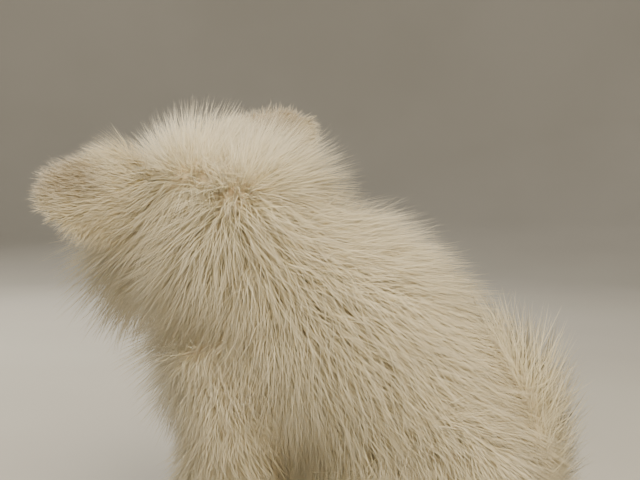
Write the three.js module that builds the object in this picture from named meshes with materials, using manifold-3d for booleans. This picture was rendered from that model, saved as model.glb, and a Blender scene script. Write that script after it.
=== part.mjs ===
// A Pomeranian puppy of about eight weeks, sitting, looking down and away to its right.
// Millimetres, +Z up, the dog faces -Y and its left side is +X.
// The origin is on the floor, in the middle of the flat that the rump sits on.

import * as THREE from 'three';
import { mergeVertices } from 'three/addons/utils/BufferGeometryUtils.js';
import Module from 'manifold-3d';

const wasm = await Module();
wasm.setup();

// Driving dimensions.
const GAP = 0.32;
const WELD = 0.002;
const SEED = 20417;
const HEAD_CENTRE = [-3, -124, 146];
const HEAD_YAW = 42;
const HEAD_PITCH = -14;
const HEAD_ROLL = 9;
const EYE_RADIUS = 6.2;
const EYE_PLACE = [13.2, 3, 17.2];
const EAR_LENGTH = 46;
const EAR_HALF_WIDTH = 19;
const PAW_HEIGHT = 9;
const LOCK_SINK = 4;
const LOCK_ROOT_WIDTH = 0.75;
const LOCK_TAPER = 2.6;
const LOCK_SWAY = 0.5;
const THREE_SIDES = 1 / Math.sqrt(3);
const LOCK_STEPS = 3;
const CLEAR_TRIES = [[1, 1], [1.3, 1], [0.75, 0.8], [1.2, 0.65], [0.6, 0.6]];

const LEFT = 1;
const RIGHT = -1;
const SIDES = [['left', LEFT], ['right', RIGHT]];

const vec = (x, y, z) => new THREE.Vector3(x, y, z);
const rad = THREE.MathUtils.degToRad;

// A seeded source of numbers from 0 to 1, so that every build is the same.
function randomFrom(seed) {
  let state = seed >>> 0;
  return () => {
    state = (state + 0x6d2b79f5) >>> 0;
    let n = Math.imul(state ^ (state >>> 15), 1 | state);
    n = (n + Math.imul(n ^ (n >>> 7), 61 | n)) ^ n;
    return ((n ^ (n >>> 14)) >>> 0) / 4294967296;
  };
}

// A closed geometry as a solid.
function solidOf(geometry) {
  geometry.deleteAttribute('normal');
  geometry.deleteAttribute('uv');
  const merged = mergeVertices(geometry, 1e-4);
  const solid = new wasm.Manifold(new wasm.Mesh({
    numProp: 3,
    vertProperties: new Float32Array(merged.attributes.position.array),
    triVerts: new Uint32Array(merged.index.array),
  }));
  return solid;
}

// A solid's mesh, with the vertices that a cut left closer than WELD made one. A face that this
// collapses is left out, and so are two that it folds onto each other.
function geometryOf(solid) {
  const mesh = solid.getMesh();
  const loose = new THREE.BufferGeometry();
  loose.setAttribute('position', new THREE.BufferAttribute(new Float32Array(mesh.vertProperties), 3));
  loose.setIndex(new THREE.BufferAttribute(new Uint32Array(mesh.triVerts), 1));
  const geometry = mergeVertices(loose, WELD);
  const ids = geometry.index.array;
  const kept = new Map();
  for (let i = 0; i < ids.length; i += 3) {
    const face = [...ids.subarray(i, i + 3)];
    const key = [...face].sort((a, b) => a - b).join();
    if (new Set(face).size < 3) continue;
    if (!kept.delete(key)) kept.set(key, face);
  }
  geometry.setIndex([...kept.values()].flat());
  geometry.computeVertexNormals();
  return geometry;
}

const joined = (solids) => wasm.Manifold.union(solids);

// The largest closed surface of a solid: loose scraps and sealed hollows are left out.
function largest(solid) {
  const pieces = solid.decompose();
  return pieces.reduce((best, piece) => (piece.volume() > best.volume() ? piece : best));
}

// Moves the vertices of a unit cylinder or cone. s runs from 0 at the base to 1 at the top,
// and (a, b) is the place on the unit circle.
function swept(geometry, tapersToPoint, place) {
  const position = geometry.attributes.position;
  for (let i = 0; i < position.count; i++) {
    const s = position.getY(i) + 0.5;
    const radius = tapersToPoint ? Math.max(1 - s, 1e-9) : 1;
    const p = place(s, position.getZ(i) / radius, position.getX(i) / radius);
    position.setXYZ(i, p.x, p.y, p.z);
  }
  return geometry;
}

// A ball stretched along three axes.
function ellipsoid(centre, radii, axes, grow = 0, detail = [16, 12]) {
  const geometry = new THREE.SphereGeometry(1, detail[0], detail[1]);
  geometry.scale(radii[0] + grow, radii[1] + grow, radii[2] + grow);
  geometry.applyMatrix4(new THREE.Matrix4().makeBasis(axes[0], axes[1], axes[2]));
  geometry.translate(centre.x, centre.y, centre.z);
  return solidOf(geometry);
}

const WORLD_AXES = [vec(1, 0, 0), vec(0, 1, 0), vec(0, 0, 1)];

// A limb or trunk: stations of [x, y, z, half width, half depth] along a smooth line.
class Tube {
  constructor(stations, across = vec(1, 0, 0)) {
    this.line = new THREE.CatmullRomCurve3(stations.map((q) => vec(q[0], q[1], q[2])));
    this.sizes = new THREE.CatmullRomCurve3(stations.map((q) => vec(q[3], q[4], 0)));
    this.across = across;
  }

  // Centre, side, depth and along vectors, and the two half sizes, at t from 0 to 1.
  frame(t) {
    const along = this.line.getTangent(t);
    const side = this.across.clone().addScaledVector(along, -this.across.dot(along)).normalize();
    const depth = new THREE.Vector3().crossVectors(along, side).normalize();
    const size = this.sizes.getPoint(t);
    return { centre: this.line.getPoint(t), along, side, depth, wide: size.x, deep: size.y };
  }

  solid(sides, rows, grow = 0) {
    const geometry = new THREE.CylinderGeometry(1, 1, 1, sides, rows);
    swept(geometry, false, (s, a, b) => {
      const q = this.frame(s);
      const end = s < 1e-6 ? -grow : s > 1 - 1e-6 ? grow : 0;
      return q.centre.clone()
        .addScaledVector(q.side, (q.wide + grow) * a)
        .addScaledVector(q.depth, (q.deep + grow) * b)
        .addScaledVector(q.along, end);
    });
    return solidOf(geometry);
  }
}

// The head's own frame: x is its left, y its crown and z its nose.
const headTurn = new THREE.Matrix4()
  .makeRotationZ(rad(-HEAD_YAW))
  .multiply(new THREE.Matrix4().makeRotationX(rad(-HEAD_PITCH)))
  .multiply(new THREE.Matrix4().makeRotationY(rad(HEAD_ROLL)));
const headBasis = new THREE.Matrix4().makeBasis(vec(1, 0, 0), vec(0, 0, 1), vec(0, -1, 0));
const headMatrix = headTurn.clone().multiply(headBasis).setPosition(vec(...HEAD_CENTRE));
const headAxes = [vec(), vec(), vec()];
headMatrix.extractBasis(...headAxes);
const inHead = (x, y, z) => vec(x, y, z).applyMatrix4(headMatrix);
const headDirection = (x, y, z) => inHead(x, y, z).sub(inHead(0, 0, 0)).normalize();

// The balls that the head blends into one smooth form: centre and radii in the head's frame.
const HEAD_FORMS = [
  [[0, 1, -3], [25, 23, 27]],
  [[9, 7, 12], [11, 9, 10]],
  [[-9, 7, 12], [11, 9, 10]],
  [[15, -6, 6], [12.5, 12.5, 14]],
  [[-15, -6, 6], [12.5, 12.5, 14]],
  [[0, -8, 22], [11.5, 9, 17]],
  [[0, -3.5, 27], [6.5, 5, 12]],
  [[4.6, -10.5, 31.5], [5.8, 5.4, 7.4]],
  [[-4.6, -10.5, 31.5], [5.8, 5.4, 7.4]],
  [[0, -15.5, 25], [7, 4.6, 10.5]],
];
const HEAD_BLEND = 4.5;
const HEAD_MIDDLE = [0, -3, 5];

// Below 0 inside the head and above 0 outside it, roughly in millimetres.
function headField(x, y, z) {
  let total = 0;
  for (const [c, r] of HEAD_FORMS) {
    const q = Math.hypot((x - c[0]) / r[0], (y - c[1]) / r[1], (z - c[2]) / r[2]);
    total += Math.exp(-(q - 1) * Math.min(...r) / HEAD_BLEND * 2);
  }
  return -Math.log(total) * HEAD_BLEND / 2;
}

// How far the head's surface is from its middle in a direction of its own frame.
function headReach(direction) {
  let near = 0;
  let far = 70;
  for (let i = 0; i < 30; i++) {
    const r = (near + far) / 2;
    const field = headField(
      HEAD_MIDDLE[0] + direction.x * r,
      HEAD_MIDDLE[1] + direction.y * r,
      HEAD_MIDDLE[2] + direction.z * r,
    );
    if (field < 0) near = r;
    else far = r;
  }
  return near;
}

// The head's smooth form. Its rings crowd towards the nose, where the form is finest.
function headForm(grow = 0) {
  const geometry = new THREE.SphereGeometry(1, 22, 18);
  const position = geometry.attributes.position;
  const crowding = 1.45;
  for (let i = 0; i < position.count; i++) {
    const polar = Math.acos(THREE.MathUtils.clamp(position.getY(i), -1, 1)) / Math.PI;
    const round = Math.atan2(position.getZ(i), position.getX(i));
    const angle = Math.PI * polar ** crowding;
    const direction = vec(
      Math.sin(angle) * Math.cos(round),
      -Math.sin(angle) * Math.sin(round),
      Math.cos(angle),
    );
    const r = headReach(direction) + grow;
    const p = inHead(
      HEAD_MIDDLE[0] + direction.x * r,
      HEAD_MIDDLE[1] + direction.y * r,
      HEAD_MIDDLE[2] + direction.z * r,
    );
    position.setXYZ(i, p.x, p.y, p.z);
  }
  return solidOf(geometry);
}

const headBall = (centre, radii, grow = 0, detail = [8, 6]) =>
  ellipsoid(inHead(...centre), radii, headAxes, grow, detail);

// The lower jaw's share of the head: below the line of the mouth, in front of the throat.
function jawRegion(grow = 0) {
  const halfWidth = 15;
  const line = [
    [47.5, -12.2], [38.5, -12.4], [31.5, -14.2], [24, -13.2],
    [17, -10.8], [14.5, -12.5], [13.5, -32], [47.5, -32],
  ];
  const shape = new THREE.Shape(line.map(([z, y], i) => new THREE.Vector2(
    i > 4 && i < 7 ? z - grow : z,
    i < 6 ? y + grow : y,
  )));
  const geometry = new THREE.ExtrudeGeometry(shape, { depth: halfWidth * 2 + grow * 2, bevelEnabled: false });
  geometry.translate(0, 0, -halfWidth - grow);
  // The shape's x is the head's z, its y is the head's y and its depth runs to the head's right.
  geometry.applyMatrix4(new THREE.Matrix4().makeBasis(vec(0, 0, 1), vec(0, 1, 0), vec(-1, 0, 0)));
  geometry.applyMatrix4(headMatrix);
  return solidOf(geometry);
}

// The nose pad, with a nostril and its slit on each side and the groove down the middle.
const NOSE_PLACE = [0, -4.6, 40.7];
const nosePad = (grow = 0) => headBall(NOSE_PLACE, [5.6, 4.3, 3.8], grow, [12, 8]);

function nose() {
  const cuts = [headBall([0, -8, 45.1], [0.5, 4.2, 1.8])];
  for (const [, side] of SIDES) {
    cuts.push(headBall([side * 2.5, -4.4, 44.5], [1.15, 1.35, 2.6]));
    cuts.push(headBall([side * 4.6, -5.6, 43.5], [2.2, 0.55, 2.2]));
  }
  return nosePad().subtract(joined(cuts));
}

// An eye's centre and the directions it looks, with the outer corner's and the brow's.
function eyePlace(side) {
  const look = headDirection(side * 0.36, 0.06, 1);
  const brow = headDirection(0, 1, -0.06);
  const outer = new THREE.Vector3().crossVectors(brow, look).normalize();
  return { centre: inHead(side * EYE_PLACE[0], EYE_PLACE[1], EYE_PLACE[2]), axes: [outer, brow, look] };
}

const LID_THICKNESS = 1.3;
const LID_OPENING = [5.3, 4.5, 6.4];

function eyeBall(side, grow = 0) {
  const { centre, axes } = eyePlace(side);
  return ellipsoid(centre, [EYE_RADIUS, EYE_RADIUS, EYE_RADIUS], axes, grow, [12, 8]);
}

// The two lids as a ball a little larger than the eye, with the almond opening cut from it.
const lidBall = (side, grow = 0) => eyeBall(side, LID_THICKNESS + grow);

// The space in front of the face that the ruff leaves free.
const faceRoom = () => headBall([0, -2, 36], [26, 23, 28], 0, [14, 10]);

function lidOpening(side) {
  const { centre, axes } = eyePlace(side);
  return ellipsoid(centre.clone().addScaledVector(axes[2], EYE_RADIUS), LID_OPENING, axes, 0, [12, 8]);
}

// An ear: a flat triangle with a round tip, bent round its length into a cup.
const EAR_ROOT = [15, 12, -5];
const EAR_THICKNESS = 1.5;
const EAR_DROOP = 5;
const EAR_SINK = 4;
const EAR_CUP_RADIUS = 19;
const EAR_WAYS = {
  left: { along: [1, 0.05, -0.06], open: [-0.1, -0.25, 1] },
  right: { along: [-0.85, 0.3, -0.1], open: [-0.1, -0.35, 0.95] },
};

// The ear's outline: half its width at s, from 0 at the root to 1 at the tip.
const earHalfWidth = (s) => EAR_HALF_WIDTH * (1 - 0.18 * s) * Math.sqrt(Math.max(1 - s ** 2.4, 0));

function earFrame(name) {
  const way = EAR_WAYS[name];
  const side = name === 'left' ? LEFT : RIGHT;
  const along = headDirection(...way.along);
  const facing = headDirection(...way.open);
  const open = facing.addScaledVector(along, -facing.dot(along)).normalize();
  const wide = new THREE.Vector3().crossVectors(open, along).normalize();
  return { root: inHead(side * EAR_ROOT[0], EAR_ROOT[1], EAR_ROOT[2]), along, open, wide };
}

function ear(name, grow = 0) {
  const { root, along, open, wide } = earFrame(name);
  const length = EAR_LENGTH + grow;
  const geometry = new THREE.ConeGeometry(1, 1, 14, 9);
  swept(geometry, true, (s, a, b) => {
    const spread = 1 - (1 - s) ** 1.25;
    const halfWidth = earHalfWidth(Math.min(spread, 0.9999)) + grow;
    const bend = (a * halfWidth) / EAR_CUP_RADIUS;
    const thickness = (EAR_THICKNESS * (1 - 0.45 * spread) + grow) * b;
    return root.clone()
      .addScaledVector(along, length * spread)
      .addScaledVector(wide, (EAR_CUP_RADIUS - thickness) * Math.sin(bend))
      .addScaledVector(open, EAR_CUP_RADIUS * (1 - Math.cos(bend)) + thickness * Math.cos(bend))
      .addScaledVector(open, EAR_DROOP * spread * spread - EAR_SINK);
  });
  return solidOf(geometry);
}

// Trunk, neck, limbs and tail, as stations of [x, y, z, half width, half depth].
const torsoTube = new Tube([
  [0, 9, 3, 12, 10],
  [0, 1, 14, 25, 22],
  [0, -12, 33, 32, 28],
  [0, -30, 59, 36, 36],
  [0, -50, 83, 37, 40],
  [0, -70, 102, 36, 41],
  [0, -86, 112, 33, 38],
  [0, -98, 118, 24, 28],
]);
const CHEST = [[0, -100, 95], [30, 26, 34]];
const NECK_FORMS = [
  [[0, -86, 121], [34, 33, 33]],
  [[-1, -101, 136], [36, 33, 34]],
  [[-3, -113, 143], [32, 27, 27]],
];
const tailTube = new Tube([
  [0, 3, 34, 7, 6],
  [1, 10, 45, 6.5, 5.5],
  [3, 13, 60, 6.5, 5.5],
  [5, 10, 76, 6, 5],
  [6, 3, 92, 5.5, 4.5],
  [6, -7, 104, 3, 2.5],
]);
const forelegTubes = {
  left: new Tube([
    [20, -104, 98, 15, 20],
    [26, -97, 74, 16, 18],
    [28, -101, 54, 13.5, 15.5],
    [28, -110, 30, 11, 12],
    [28, -119, 13, 10, 10],
  ]),
  right: new Tube([
    [-20, -106, 98, 15, 20],
    [-26, -99, 74, 16, 18],
    [-27, -105, 54, 13.5, 15.5],
    [-26, -116, 30, 11, 12],
    [-25, -125, 13, 10, 10],
  ]),
};
const PAW_PLACES = { left: [28, -126], right: [-25, -133] };
const HIND_TURN = 8;

function haunchForms(side) {
  return [
    [[side * 27, -20, 40], [19, 35, 40.5]],
    [[side * 34, -44, 34], [14, 22, 24]],
  ];
}

// Balls along the world's axes, joined into one form.
const balls = (forms, grow = 0) =>
  joined(forms.map(([centre, radii]) => ellipsoid(vec(...centre), radii, WORLD_AXES, grow, [12, 10])));

const haunch = (side, grow = 0) => balls(haunchForms(side), grow);
const neckForm = (grow = 0) => balls(NECK_FORMS, grow);
const torsoForm = (grow = 0) => torsoTube.solid(16, 11, grow).add(balls([CHEST], grow));

// Four toes with claws in front of a rounded pad, all flat on the floor.
function foot(x, y, turn, length, grow = 0) {
  const axes = WORLD_AXES.map((axis) => axis.clone().applyAxisAngle(vec(0, 0, 1), rad(turn)));
  const place = (right, forward, up) => vec(x, y, up)
    .addScaledVector(axes[0], right)
    .addScaledVector(axes[1], -forward);
  const middle = place(0, -length / 2 + 8, PAW_HEIGHT - 0.5);
  const forms = [ellipsoid(middle, [11, length / 2 + 6, PAW_HEIGHT], axes, grow, [9, 6])];
  const toeStep = 5.4;
  for (let i = 0; i < 4; i++) {
    const across = (i - 1.5) * toeStep;
    const forward = 12 - Math.abs(i - 1.5) * 2;
    const tip = place(across * 1.06, forward + 5.5, 3.2);
    forms.push(ellipsoid(place(across, forward, 5.4), [3.5, 6.4, 5.4], axes, grow, [6, 5]));
    forms.push(ellipsoid(tip, [0.9, 3, 1.1], axes, grow, [4, 4]));
  }
  return joined(forms);
}

// How a node's coat grows: the lie at a point, and how its locks' sizes differ there.
const smooth = THREE.MathUtils.smoothstep;
const REARWARD = vec(0, 0.65, -0.76);
const LEVEL_REARWARD = vec(0, 1, -0.15);
const DOWN_FORWARD = vec(0, -0.28, -1);
const mixed = (from, to, share) => from.clone().lerp(to, share);
// The ruff: 1 at the front of the throat and chest, 0 behind it and at the crown.
const ruff = (p) => smooth(-p.y, 100, 120) * (1 - smooth(p.z, 140, 154));

const COATS = {
  neck: {
    spacing: 14.5, length: 27, rise: 18, droop: 10, width: 20, thickness: 3.6,
    lie: (p) => mixed(
      mixed(DOWN_FORWARD, REARWARD, smooth(p.z, 116, 136)),
      LEVEL_REARWARD,
      smooth(p.z, 146, 164),
    ),
    standing: (p) => 1 + 0.3 * smooth(p.z, 150, 166) + 0.25 * ruff(p),
    reach: (p) => 1 - 0.45 * smooth(p.z, 142, 160) + 0.2 * ruff(p),
  },
  head: {
    spacing: 11.5, length: 18, rise: 17, droop: 5, width: 15, thickness: 3,
    lie: (p) => mixed(vec(0, 0.2 - 0.8 * ruff(p), -1), vec(0, 1, 0.3), smooth(p.z, 146, 160)),
    standing: (p) => 1 + 0.2 * smooth(p.z, 155, 170) + 0.4 * ruff(p),
    reach: (p) => 1.6 - 0.6 * smooth(p.z, 138, 154),
  },
  torso: {
    spacing: 15.5, length: 30, rise: 18, droop: 2, width: 22, thickness: 4,
    lie: (p) => mixed(DOWN_FORWARD, REARWARD, smooth(p.y, -100, -55)),
    standing: (p) => 0.75 + 0.4 * smooth(p.z, 40, 95),
    reach: () => 1,
  },
  tail: {
    spacing: 9.5, length: 20, rise: 8, droop: 1, width: 13, thickness: 2.6,
    lie: (p) => mixed(vec(0, 0.1, 1), vec(0, -0.8, 0.6), smooth(p.z, 74, 98)),
    standing: () => 1,
    reach: () => 1,
  },
  haunch: {
    spacing: 16.5, length: 25, rise: 12, droop: 6, width: 20, thickness: 3.4,
    lie: () => vec(0, 0.35, -1),
    standing: (p) => 0.6 + 0.4 * smooth(p.z, 15, 50),
    reach: () => 1,
  },
  leg: {
    spacing: 15, length: 22, rise: 8, droop: 1, width: 18, thickness: 3,
    lie: () => vec(0, 0.4, -1),
    standing: (p) => 0.6 + 0.4 * smooth(p.z, 15, 50),
    reach: () => 1,
  },
};

// How much of its full width a lock has at s, from 0 at its root to 1 at its tip.
const lockFullness = (s) => Math.max(1 - s ** LOCK_TAPER, 0) * (LOCK_ROOT_WIDTH + 0.45 * s);

// A lock: flat below, ridged on top, rooted in its form, thin at its tip and bent along its lie.
function lock({ root, out, lie, side, size }, grow = 0) {
  const across = new THREE.Vector3().crossVectors(lie, out).normalize();
  const start = root.clone().addScaledVector(out, -LOCK_SINK);
  const bend = root.clone().addScaledVector(out, size.rise * 1.2).addScaledVector(lie, size.length * 0.3);
  const tip = root.clone()
    .addScaledVector(out, size.rise * 0.9 - size.droop)
    .addScaledVector(lie, size.length + grow)
    .addScaledVector(across, side);
  const spine = new THREE.QuadraticBezierCurve3(start, bend, tip);
  const geometry = new THREE.ConeGeometry(1, 1, 3, LOCK_STEPS);
  swept(geometry, true, (s, up, wide) => {
    const fullness = lockFullness(s);
    const extra = s < 1 - 1e-6 ? grow : 0;
    const along = spine.getTangent(s);
    const above = new THREE.Vector3().crossVectors(across, along).normalize();
    return spine.getPoint(s)
      .addScaledVector(across, wide * (size.width * THREE_SIDES * fullness + extra))
      .addScaledVector(above, up * (size.thickness * fullness + extra * 2));
  });
  return solidOf(geometry);
}

// Random places on a form's surface, each with the way out of it.
function* placesOn(form, random, count) {
  const mesh = form.getMesh();
  const corners = [];
  for (let i = 0; i < mesh.vertProperties.length; i += 3) {
    corners.push(vec().fromArray(mesh.vertProperties, i));
  }
  const normals = corners.map(() => vec());
  const faces = [];
  let area = 0;
  for (let i = 0; i < mesh.triVerts.length; i += 3) {
    const [a, b, c] = mesh.triVerts.subarray(i, i + 3);
    const normal = corners[b].clone().sub(corners[a]).cross(corners[c].clone().sub(corners[a]));
    area += normal.length();
    faces.push({ ids: [a, b, c], upTo: area });
    [a, b, c].forEach((id) => normals[id].add(normal));
  }
  for (let i = 0; i < count; i++) {
    const pick = random() * area;
    const { ids } = faces.find((face) => face.upTo >= pick);
    let [u, v] = [random(), random()];
    if (u + v > 1) [u, v] = [1 - u, 1 - v];
    const shares = [1 - u - v, u, v];
    const root = vec();
    const out = vec();
    ids.forEach((id, k) => {
      root.addScaledVector(corners[id], shares[k]);
      out.addScaledVector(normals[id], shares[k]);
    });
    yield { root, out: out.normalize() };
  }
}

const blockOf = (solid) => ({ solid, box: solid.boundingBox() });
const boxesMeet = (p, q) => [0, 1, 2].every((i) => p.min[i] <= q.max[i] && q.min[i] <= p.max[i]);
const clearOf = (solid, blocks) => {
  const box = solid.boundingBox();
  return blocks.every((block) => !boxesMeet(box, block.box) || solid.intersect(block.solid).isEmpty());
};

// The locks of a coat over a form, evenly spaced and clear of the blocks of every other node.
function locksOver(form, coat, blocks, random, count = 1500) {
  const roots = [];
  const locks = [];
  for (const { root, out } of placesOn(form, random, count)) {
    const near = (other) => other.distanceTo(root) < coat.spacing;
    if (root.z < 6 || roots.some(near)) continue;
    const wish = coat.lie(root);
    const lie = wish.addScaledVector(out, -wish.dot(out)).normalize();
    lie.applyAxisAngle(out, (random() - 0.5) * LOCK_SWAY);
    const vary = 0.85 + random() * 0.3;
    const side = (random() - 0.5) * coat.width * LOCK_SWAY;
    const standing = coat.standing(root) * vary;
    for (const [higher, longer] of CLEAR_TRIES) {
      const size = {
        rise: coat.rise * standing * higher,
        length: coat.length * coat.reach(root) * vary * longer,
        droop: coat.droop,
        width: coat.width,
        thickness: coat.thickness,
      };
      if (!clearOf(lock({ root, out, lie, side, size }, GAP), blocks)) continue;
      locks.push(lock({ root, out, lie, side, size }));
      roots.push(root);
      break;
    }
  }
  return locks;
}

// What lies above the floor.
const ROOM = solidOf(new THREE.BoxGeometry(600, 600, 400).translate(0, -50, 200));
const aboveFloor = (solid) => solid.intersect(ROOM);

// The nodes as [name, finish, solid], each cut clear of those it touches.
function bareNodes() {
  const headWhole = headForm().add(joined([lidBall(LEFT), lidBall(RIGHT)]))
    .subtract(joined([lidOpening(LEFT), lidOpening(RIGHT), nosePad(GAP)]))
    .subtract(joined([eyeBall(LEFT, GAP), eyeBall(RIGHT, GAP)]));
  const headGrown = joined([headForm(GAP), lidBall(LEFT, GAP), lidBall(RIGHT, GAP), faceRoom()]);
  const ears = joined([ear('left', GAP), ear('right', GAP)]);
  const neckGrown = neckForm(GAP);
  const forelegs = joined(SIDES.map(([name]) => forelegTubes[name].solid(10, 6, GAP)));
  const haunches = joined([haunch(LEFT, GAP), haunch(RIGHT, GAP)]);
  const tailGrown = tailTube.solid(8, 8, GAP);
  const nodes = [
    ['head', 'coat', headWhole.subtract(jawRegion(GAP))],
    ['lower_jaw', 'coat', headWhole.intersect(jawRegion())],
    ['nose', 'nose', nose()],
    ['neck', 'coat', neckForm().subtract(joined([headGrown, ears]))],
    ['torso', 'coat', torsoForm().subtract(joined([headGrown, neckGrown, forelegs, haunches, tailGrown]))],
    ['tail', 'coat', tailTube.solid(8, 8)],
  ];
  for (const [name, side] of SIDES) {
    const paw = (grow) => foot(...PAW_PLACES[name], 0, 20, grow);
    const hindFoot = (grow) => foot(side * 36, -58, side * HIND_TURN, 46, grow);
    const foreleg = forelegTubes[name].solid(10, 6);
    nodes.push([`eye_${name}`, 'eye', eyeBall(side)]);
    nodes.push([`ear_${name}`, 'ear', ear(name).subtract(headForm(GAP))]);
    nodes.push([`foreleg_${name}`, 'coat', foreleg.subtract(joined([paw(GAP), neckGrown, headGrown]))]);
    nodes.push([`forepaw_${name}`, 'coat', paw(0)]);
    nodes.push([`hind_leg_${name}`, 'coat', haunch(side).subtract(hindFoot(GAP))]);
    nodes.push([`hind_foot_${name}`, 'coat', hindFoot(0)]);
  }
  return nodes;
}

// The nodes that carry locks, in the order that they overlie the next, with the form under each coat.
const COATED = [
  ['neck', 'neck', () => neckForm()],
  ['head', 'head', () => headForm()],
  ['tail', 'tail', () => tailTube.solid(8, 8)],
  ...SIDES.map(([name, side]) => [`hind_leg_${name}`, 'haunch', () => haunch(side)]),
  ...SIDES.map(([name]) => [`foreleg_${name}`, 'leg', () => forelegTubes[name].solid(10, 6)]),
  ['torso', 'torso', () => torsoForm()],
];

function buildNodes() {
  const random = randomFrom(SEED);
  const blocks = new Map();
  const solids = new Map();
  const bare = bareNodes();
  for (const [name, , solid] of bare) {
    const core = largest(aboveFloor(solid));
    solids.set(name, core);
    blocks.set(name, [blockOf(core)]);
  }
  const face = blockOf(faceRoom());
  for (const [name, coat, form] of COATED) {
    const others = [face, ...[...blocks].filter(([other]) => other !== name).flatMap(([, list]) => list)];
    const locks = locksOver(form(), COATS[coat], others, random);
    blocks.get(name).push(...locks.map(blockOf));
    solids.set(name, largest(aboveFloor(joined([solids.get(name), ...locks]))));
  }
  return bare.map(([name, finish]) => ({ name, finish, solid: solids.get(name) }));
}

const FINISHES = {
  coat: { color: 0xe2d6bd, roughness: 0.9, metalness: 0 },
  ear: { color: 0xdcc7a4, roughness: 0.9, metalness: 0 },
  nose: { color: 0x1d1817, roughness: 0.45, metalness: 0 },
  eye: { color: 0x1c0f0a, roughness: 0.08, metalness: 0 },
};

const puppy = new THREE.Group();
for (const { name, finish, solid } of buildNodes()) {
  const mesh = new THREE.Mesh(geometryOf(solid), new THREE.MeshStandardMaterial(FINISHES[finish]));
  mesh.name = name;
  puppy.add(mesh);
}

export default puppy;
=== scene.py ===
# A sitting Pomeranian puppy with a dense cream-white coat, its head turned down and away.
# The forms repeat the frame's own sizes, in millimetres, and become metres when meshes are made.
import math
from functools import partial

import bpy
import numpy as np
from mathutils import Matrix, Vector
from mathutils.kdtree import KDTree


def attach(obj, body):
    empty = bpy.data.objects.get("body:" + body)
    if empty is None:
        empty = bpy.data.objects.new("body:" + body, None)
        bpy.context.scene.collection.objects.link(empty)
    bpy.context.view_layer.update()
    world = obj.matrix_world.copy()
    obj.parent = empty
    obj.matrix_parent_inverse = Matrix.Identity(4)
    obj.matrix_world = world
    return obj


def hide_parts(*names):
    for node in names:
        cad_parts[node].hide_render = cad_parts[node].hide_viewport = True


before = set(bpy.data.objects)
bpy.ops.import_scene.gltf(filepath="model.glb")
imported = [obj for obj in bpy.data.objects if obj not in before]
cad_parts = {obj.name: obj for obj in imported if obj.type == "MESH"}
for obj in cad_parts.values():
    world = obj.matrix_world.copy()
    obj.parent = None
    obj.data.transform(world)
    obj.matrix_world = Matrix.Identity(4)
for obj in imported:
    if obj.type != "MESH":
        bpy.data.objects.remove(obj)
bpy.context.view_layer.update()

MM = 0.001
SEED = 5821
LEFT, RIGHT = 1, -1
SIDES = (("left", LEFT), ("right", RIGHT))

# The photograph's view: a long lens from the left, a little behind.
VIEW_AZIMUTH = 105.0
VIEW_ELEVATION = 4.0
VIEW_DISTANCE = 405.0
VIEW_TARGET = (0.0, -71.0, 137.0)
LENS = 60.0
SENSOR = 36.0

# The head: its place, how it turns, and the balls that blend into it, as (centre, radii).
HEAD_CENTRE = (-3.0, -124.0, 146.0)
HEAD_YAW, HEAD_PITCH, HEAD_ROLL = 42.0, -14.0, 9.0
HEAD_FORMS = (
    ((0, 1, -3), (25, 23, 27)),
    ((9, 7, 12), (11, 9, 10)),
    ((-9, 7, 12), (11, 9, 10)),
    ((15, -6, 6), (12.5, 12.5, 14)),
    ((-15, -6, 6), (12.5, 12.5, 14)),
    ((0, -8, 22), (11.5, 9, 17)),
    ((0, -3.5, 27), (6.5, 5, 12)),
    ((4.6, -10.5, 31.5), (5.8, 5.4, 7.4)),
    ((-4.6, -10.5, 31.5), (5.8, 5.4, 7.4)),
    ((0, -15.5, 25), (7, 4.6, 10.5)),
)
HEAD_BLEND = 4.5
HEAD_MIDDLE = (0.0, -3.0, 5.0)
# Farther from the middle than any of the head's skin.
HEAD_OUTSIDE = 70.0
# The skull and the muzzle, in the head's frame, as (centre, radii) that hold all the head's skin.
HEAD_REACH = (((0, -2, 6), (27, 25, 34)), ((0, -8, 24), (20, 18, 24)))

# The eyes, the opening between their lids, and the nose pad, in the head's frame.
EYE_RADIUS = 6.2
EYE_PLACE = (13.2, 3.0, 17.2)
EYE_LOOK = (0.36, 0.06, 1)
EYE_BROW = (0, 1, -0.06)
EYE_BULGE = 0.03
SOCKET_WALL = 1.1
LID_OPENING = (5.0, 4.1, 6.2)
LID_HEIGHT = 0.75
LID_RING = (0.6, 0.55)
NOSE_PLACE = (0.0, -4.6, 40.7)
NOSE_RADII = (5.6, 4.3, 3.8)
NOSE_GROOVE_DEPTH, NOSE_GROOVE_WIDTH = 0.55, 0.42
# A nostril's hole and slit: depth, place aside and up, half width and height, and slope.
NOSTRIL_HOLE = (1.9, 2.5, 0.2, 1.15, 1.2, 0)
NOSTRIL_SLIT = (1.2, 4.2, -0.9, 1.5, 0.5, 0.2)

# The mouth's line from the front to the corner, as (nose, crown), and the groove along it.
MOUTH_LINE = ((45.0, -12.0), (38.5, -12.6), (31.5, -14.2), (24.0, -13.2), (17.0, -10.8))
MOUTH_HALF_WIDTH = 16.0
MOUTH_DEPTH = 1.1
MOUTH_WIDTH = 0.9
# How far the line rises in the middle, under the nose, and over what width.
MOUTH_ARCH = 3.2
MOUTH_ARCH_WIDTH = 2.6

# The ears: root, ways, sizes, and how wide their skin is beside the solid ear, whose edge is fur.
EAR_ROOT = (15.0, 12.0, -5.0)
EAR_LENGTH = 46.0
EAR_HALF_WIDTH = 19.0
EAR_SKIN = 0.88
EAR_CUP_RADIUS = 19.0
EAR_THICKNESS = 1.3
EAR_DROOP = 5.0
EAR_SINK = 4.0
EAR_WAYS = {
    "left": ((1, 0.05, -0.06), (-0.1, -0.25, 1)),
    "right": ((-0.85, 0.3, -0.1), (-0.1, -0.35, 0.95)),
}

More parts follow.
